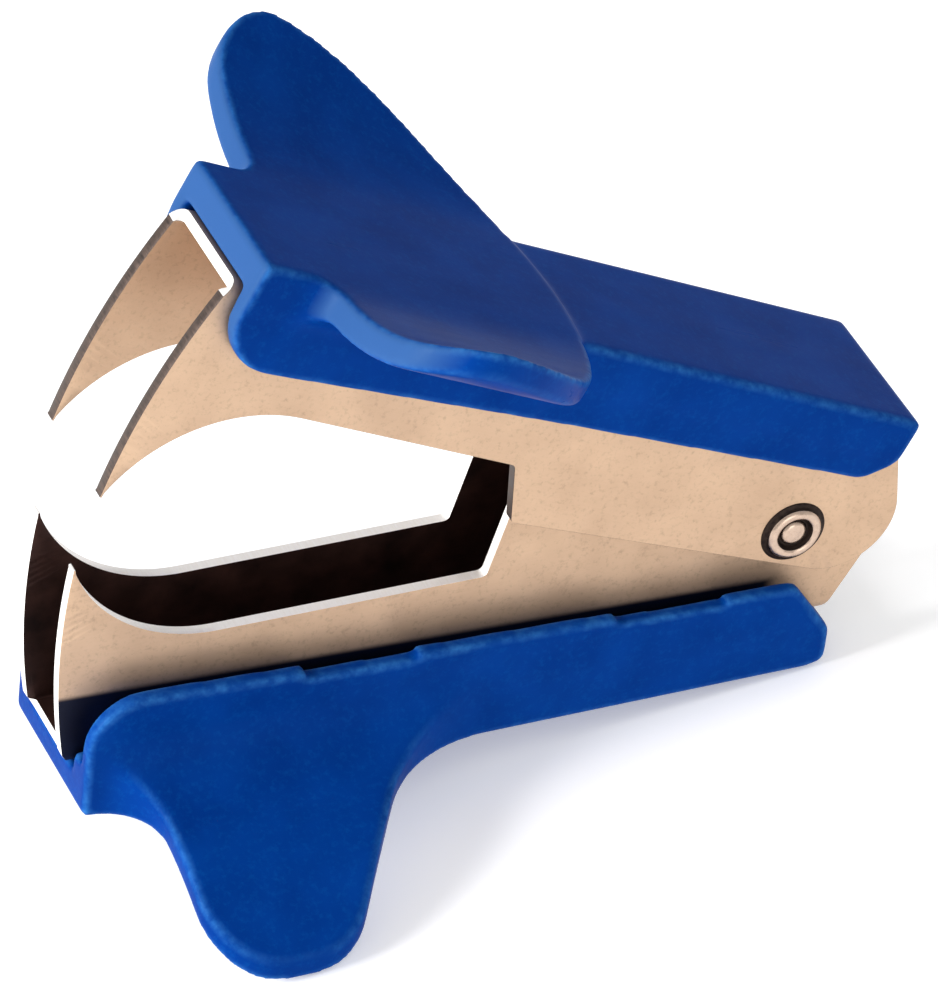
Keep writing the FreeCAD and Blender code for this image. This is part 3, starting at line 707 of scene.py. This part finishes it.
def grip_field(side, plan, xs, ys, zs):
    """Field of a grip: a dished plate with wings, over two walls, hollowed for the jaw."""
    grip, half, top = GRIPS[side], GRIP["half"], GRIP["height"]
    dish = ((grip["span"] / 2 - half) ** 2 + grip["rise"] ** 2) / (2 * grip["rise"])
    beside = np.clip(np.abs(ys) - half, 0, dish * 0.9)
    lift = dish - np.sqrt(dish ** 2 - beside ** 2)
    lean = np.sqrt(dish ** 2 - beside ** 2) / dish
    pad = np.zeros((len(xs), len(ys)))
    if side == "upper":
        edge = (PAD_EDGE - (ys / PAD_REACH) ** 2 * PAD_BOW)[None, :]
        behind = eased_step(xs[:, None], edge + PAD_STEP[0], edge + PAD_STEP[1])
        pad = PAD_HEIGHT * (1 - behind) - PAD_HEIGHT / 2
    over = (zs[None, None, :] - top - lift[None, :, None] - pad[:, :, None]) * lean[None, :, None]
    under = ((top - GRIP["wing"]) + lift[:, None] - zs[None, :]) * lean[:, None]
    web = either((np.abs(ys) - half)[:, None], under, grip["fillet"])
    outline = polygon_field(plan, xs, ys)
    plate = both(outline[:, :, None], both(over, web[None, :, :], TOP_ROUND), EDGE_ROUND)
    wall = polygon_field(wall_profile(grip), xs, zs)
    hollow_half, hollow_top = JAWS[side]["width"] / 2 + HOLLOW_PLAY, WEB_HEIGHT + HOLLOW_PLAY
    hollow = np.maximum((np.abs(ys) - hollow_half)[:, None], (zs - hollow_top)[None, :])[None]
    if side == "lower":
        hollow = np.minimum(hollow, lower_relief(xs, ys, zs, grip, wall))
    return both(both(plate, wall[:, None, :], EDGE_ROUND), -hollow, HOLLOW_ROUND)


def lower_relief(xs, ys, zs, grip, wall):
    """Field of what thins the lower lips from inside, and of the two notches in each."""
    lip = np.interp(xs, (GRIP["front"], GRIP["bend"], grip["slope"][0]), grip["lip"])
    below = np.maximum(-wall - LIP_THICK, (zs - RELIEF_TOP)[None, :])
    relief = np.maximum((np.abs(ys) - RELIEF_HALF)[None, :, None], below[:, None, :])
    for start in NOTCHES:
        across = np.maximum(start - xs, xs - start - NOTCH_LENGTH)
        notch = np.maximum(across[:, None], zs[None, :] - (lip[:, None] + NOTCH_DEPTH))
        relief = np.minimum(relief, notch[:, None, :])
    return relief


def make_grip(side, plan, body):
    """A moulded grip, meshed from its field, with how far each vertex stands out kept for the edge wear
    and painted edge highlight.
    """
    grip = GRIPS[side]
    tip = grip["span"] / 2
    low = np.array((GRIP["front"], -tip, grip["lip"][0])) - 3 * GRID
    high = np.array((grip["rear"], tip, GRIP["height"] + grip["rise"] + TIP_ROOM)) + 3 * GRID
    axes = [np.arange(a, b, GRID) for a, b in zip(low, high)]
    vertices, quads = surface_net(grip_field(side, plan, *axes).astype(np.float32), low, GRID)
    stand = standing_out(vertices, quads)
    place = np.array(PLACE[side])
    vertices = vertices @ place[:3, :3].T + place[:3, 3]
    mesh = bpy.data.meshes.new(side + "_grip_moulding")
    mesh.vertices.add(len(vertices))
    mesh.vertices.foreach_set("co", vertices.astype(np.float32).ravel())
    mesh.loops.add(quads.size)
    mesh.loops.foreach_set("vertex_index", quads.ravel().astype(np.int32))
    mesh.polygons.add(len(quads))
    mesh.polygons.foreach_set("loop_start", np.arange(0, quads.size, 4, dtype=np.int32))
    mesh.update(calc_edges=True)
    mesh.validate()
    mesh.shade_smooth()
    kept = mesh.attributes.new("stand", "FLOAT", "POINT")
    kept.data.foreach_set("value", stand.astype(np.float32))
    plastic = blue_plastic("blue_plastic_" + side, GRAIN[side], painted_front_sheen=side == "upper")
    piece = add_piece(side + "_grip_moulding", mesh, body, side + "_grip", [plastic])
    modifier(piece, "SMOOTH", factor=0.5, iterations=SMOOTHING)


# --------------------------------------------------------------------------- rivet and spring


def lathe(profile, steps, marks):
    """A closed shape turned about Y from (radius, y) points; each band takes its mark as material."""
    bm = bmesh.new()
    around = [2 * math.pi * k / steps for k in range(steps)]
    rings = []
    for radius, y in profile:
        angles = around if radius > 0 else [0.0]
        rings.append([bm.verts.new((radius * math.cos(a), y, radius * math.sin(a))) for a in angles])
    for mark, a, b in zip(marks, rings, rings[1:]):
        for k in range(steps):
            n = (k + 1) % steps
            loop = [a[k % len(a)], b[k % len(b)], b[n % len(b)], a[n % len(a)]]
            face = bm.faces.new([v for i, v in enumerate(loop) if v is not loop[i - 1]])
            face.material_index = mark
            face.smooth = True
    bmesh.ops.recalc_face_normals(bm, faces=bm.faces[:])
    return bm


# Profiles of the rivet's ends: (radius, height over the cheek, material from here to the next point,
# 0 for bright steel and 1 for the painted shade in its grooves and round its rim).
RIVET_NEAR = [
    (0.0, 0.36, 0), (0.60, 0.34, 0), (0.82, 0.26, 0), (0.90, 0.12, 1), (1.02, -0.05, 1), (1.14, 0.12, 1),
    (1.22, 0.30, 1), (1.30, 0.42, 0), (1.44, 0.51, 0), (1.62, 0.53, 0), (1.80, 0.46, 0), (1.93, 0.32, 1),
    (2.01, 0.18, 1), (2.09, 0.11, 1), (2.18, 0.08, 1), (2.30, 0.06, 1), (2.35, 0.0, 1),
]
RIVET_FAR = [
    (2.35, 0.0, 1), (2.35, 0.14, 0), (2.30, 0.26, 0), (2.12, 0.42, 0), (1.75, 0.62, 0), (1.25, 0.78, 0),
    (0.7, 0.87, 0), (0.0, 0.9, 0),
]
RIVET_SIDES = 64


def make_rivet(body):
    """The rivet: rolled rim round a hollow at -Y, domed head at +Y."""
    seat = JAWS["upper"]["width"] / 2
    near = [(radius, -seat - height) for radius, height, _ in RIVET_NEAR]
    far = [(radius, seat + height) for radius, height, _ in RIVET_FAR]
    marks = [mark for _, _, mark in RIVET_NEAR] + [0, 0] + [mark for _, _, mark in RIVET_FAR]
    bm = lathe(near + [(SHANK, -seat), (SHANK, seat)] + far, RIVET_SIDES, marks)
    mesh = placed_mesh("rivet_turned", bm, PLACE["upper"])
    bright = turned_steel("rivet_steel", *RIVET_STEEL, (0.22, 0.38))
    # The grooves and the ring round the rim are painted near black: painted shade.
    shade_in_grooves = turned_steel("rivet_groove_shade", *RIVET_GROOVE_SHADE, (0.45, 0.6))
    add_piece("rivet_turned", mesh, body, "pivot_rivet", [bright, shade_in_grooves])


# The wire's diameter, the coil's mean radius and pitch, its whole turns, and the legs' angle to the
# line between the webs and their length.
WIRE, COIL, COIL_PITCH, TURNS, LEG_ANGLE, LEG = 0.8, 2.3, 0.88, 4, 30.5, 15.5
LEG_STEPS, COIL_STEPS, WIRE_SIDES = 8, 200, 16


def make_spring():
    """The torsion spring as one swept wire: leg, coil and leg."""
    whole = 2 * math.pi * TURNS + math.radians(180 - 2 * LEG_ANGLE)
    rise = COIL_PITCH * whole / (2 * math.pi)
    path = [Vector((COIL, -LEG * (1 - k / LEG_STEPS), 0)) for k in range(LEG_STEPS)]
    for k in range(COIL_STEPS + 1):
        angle = whole * k / COIL_STEPS
        path.append(Vector((COIL * math.cos(angle), COIL * math.sin(angle), rise * k / COIL_STEPS)))
    leaves, heading = path[-1], Vector((-math.sin(whole), math.cos(whole), 0))
    path += [leaves + heading * LEG * k / LEG_STEPS for k in range(1, LEG_STEPS + 1)]
    bm = bmesh.new()
    rings = []
    for index, point in enumerate(path):
        along = (path[min(index + 1, len(path) - 1)] - path[max(index - 1, 0)]).normalized()
        side = along.cross(Vector((0, 0, 1))).normalized()
        up = side.cross(along)
        angles = [2 * math.pi * k / WIRE_SIDES for k in range(WIRE_SIDES)]
        spokes = [side * math.cos(angle) + up * math.sin(angle) for angle in angles]
        rings.append([bm.verts.new(point + WIRE / 2 * spoke) for spoke in spokes])
    for a, b in zip(rings, rings[1:]):
        for k in range(WIRE_SIDES):
            n = (k + 1) % WIRE_SIDES
            bm.faces.new((a[k], a[n], b[n], b[k])).smooth = True
    bm.faces.new(rings[0])
    bm.faces.new(rings[-1])
    bmesh.ops.recalc_face_normals(bm, faces=bm.faces[:])
    middle = LOWER_PITCH + OPENING / 2
    centred = Matrix.Translation((0, rise / 2 * MM, 0)) @ turn(90, "X") @ Matrix.Scale(MM, 4)
    mesh = placed_mesh("spring_wire", bm, TO_MM @ turn(middle + 90 - LEG_ANGLE, "Y") @ centred)
    steel = turned_steel("spring_steel", *SPRING_STEEL, (0.25, 0.4))
    piece = add_piece("spring_wire", mesh, None, "torsion_spring", [steel])
    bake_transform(piece)


# ------------------------------------------------------------------- floor, light and camera
FLOOR_HALF = 3.0  # half the floor's side, in metres
# The camera: its angles in degrees, its distance from the pivot in metres, and its lens and sensor in
# mm, with the pivot's place on the sensor, right of and above its centre.
AZIMUTH, ELEVATION, TILT, DISTANCE = -25.38, 40.79, -1.055, 0.5
LENS, SENSOR, PIVOT_RIGHT, PIVOT_ABOVE = 268.4715, 36.0, 10.5878, 0.3417


def make_floor():
    """A plain pale floor with a faint glow of its own, so that it comes out near white."""
    mesh = bpy.data.meshes.new("floor")
    corners = [(-1, -1), (1, -1), (1, 1), (-1, 1)]
    mesh.from_pydata([(FLOOR_HALF * x, FLOOR_HALF * y, 0) for x, y in corners], [], [(0, 1, 2, 3)])
    floor = bpy.data.objects.new("floor", mesh)
    bpy.context.collection.objects.link(floor)
    m = Nodes("floor_paper", Roughness=0.9, Specular_IOR_Level=0.1)
    m.shader.inputs["Base Color"].default_value = colour(0.93)
    m.shader.inputs["Emission Color"].default_value = colour(1.0)
    m.shader.inputs["Emission Strength"].default_value = 0.30
    mesh.materials.append(m.material)


def add_light(name, where, size, power, aim):
    """A square soft light, aimed at a point of the object."""
    data = bpy.data.lights.new(name, "AREA")
    data.size = size
    data.energy = power
    light = bpy.data.objects.new(name, data)
    light.location = where
    light.rotation_euler = (Vector(where) - Vector(aim)).to_track_quat("Z", "Y").to_euler()
    bpy.context.collection.objects.link(light)


def make_camera():
    """A long lens beside the near cheeks, a little towards the fangs, looking down."""
    azimuth, elevation = math.radians(AZIMUTH), math.radians(ELEVATION)
    right = Vector((math.cos(azimuth), math.sin(azimuth), 0))
    level = Vector((math.sin(azimuth), -math.cos(azimuth), 0))
    back = level * math.cos(elevation) + Vector((0, 0, math.sin(elevation)))
    facing = turn(TILT, "Y").to_3x3() @ Matrix((right, back.cross(right), back)).transposed()
    aim = Vector((PIVOT_RIGHT, PIVOT_ABOVE, -LENS))
    swing = aim.rotation_difference(Vector((0, 0, -1))).to_matrix()
    data = bpy.data.cameras.new("camera")
    data.sensor_width = SENSOR
    data.lens = LENS
    data.clip_start = 0.01
    camera = bpy.data.objects.new("camera", data)
    where = Matrix.Translation(PIVOT + facing @ Vector((0, 0, DISTANCE)))
    camera.matrix_world = where @ (facing @ swing).to_4x4()
    bpy.context.collection.objects.link(camera)
    bpy.context.scene.camera = camera


def make_world(shade, strength):
    """An even surrounding light."""
    world = bpy.data.worlds.new("studio")
    world.use_nodes = True
    background = world.node_tree.nodes["Background"]
    background.inputs["Color"].default_value = (*shade, 1)
    background.inputs["Strength"].default_value = strength
    bpy.context.scene.world = world


# -------------------------------------------------------------------------------- the scene
make_jaw("upper", body="upper")
make_jaw("lower", body="lower")
make_grip("upper", upper_plan(), body="upper")
make_grip("lower", lower_plan(), body="lower")
make_rivet(body="upper")
make_spring()
make_floor()
make_camera()
make_world(shade=(1.0, 1.0, 1.0), strength=0.66)
add_light("key", where=(-0.52, 0.03, 0.24), size=0.22, power=4.4, aim=(0, 0, 0.02))
add_light("fill", where=(0.05, -0.58, 0.13), size=0.30, power=0.65, aim=(0, 0, 0.015))
bpy.context.scene.view_settings.view_transform = "Standard"
